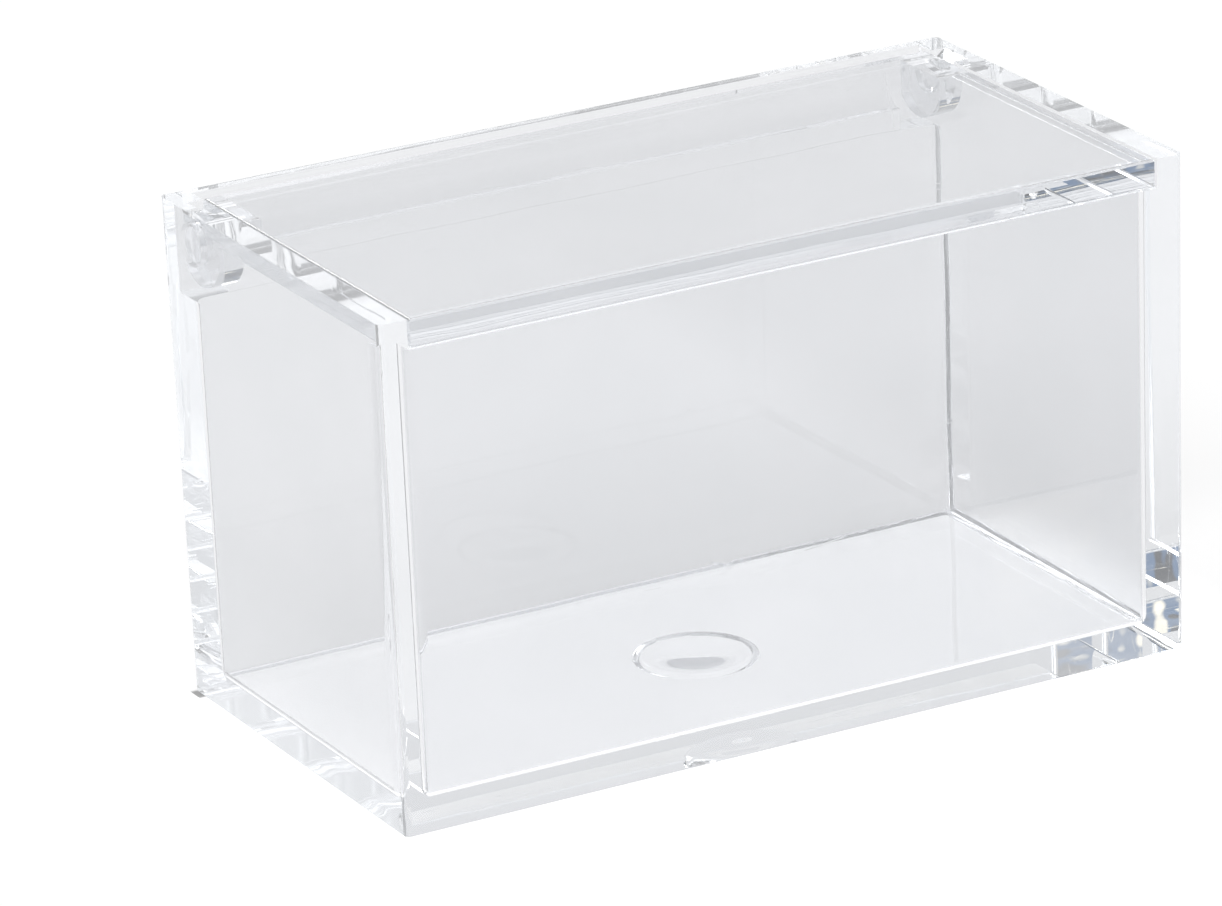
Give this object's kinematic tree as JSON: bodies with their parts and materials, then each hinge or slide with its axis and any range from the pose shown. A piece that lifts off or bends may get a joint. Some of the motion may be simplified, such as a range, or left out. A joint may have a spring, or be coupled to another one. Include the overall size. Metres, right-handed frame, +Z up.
{
  "type": "pick holder",
  "caption": "Small clear plastic box for guitar picks, with a flush lid that hinges on pins at its top rear corners.",
  "frame": {"origin": "middle of the underside, on the surface that the box stands on", "axes": "+X to the box's right along its length, +Y to the back where the hinge is, +Z up"},
  "size_m": [0.085, 0.045, 0.05],
  "materials": {
    "box_plastic": "clear polished moulding",
    "lid_plastic": "clear polished moulding"
  },
  "bodies": {
    "box": {"box_body": "box_plastic"},
    "lid": {"lid": "lid_plastic"}
  },
  "joints": [
    {"name": "lid_hinge", "type": "hinge", "parent": "box", "child": "lid", "pos_m": [0, 0.0168, 0.0466], "axis": [-1, 0, 0], "range_deg": [0, 105]}
  ]
}
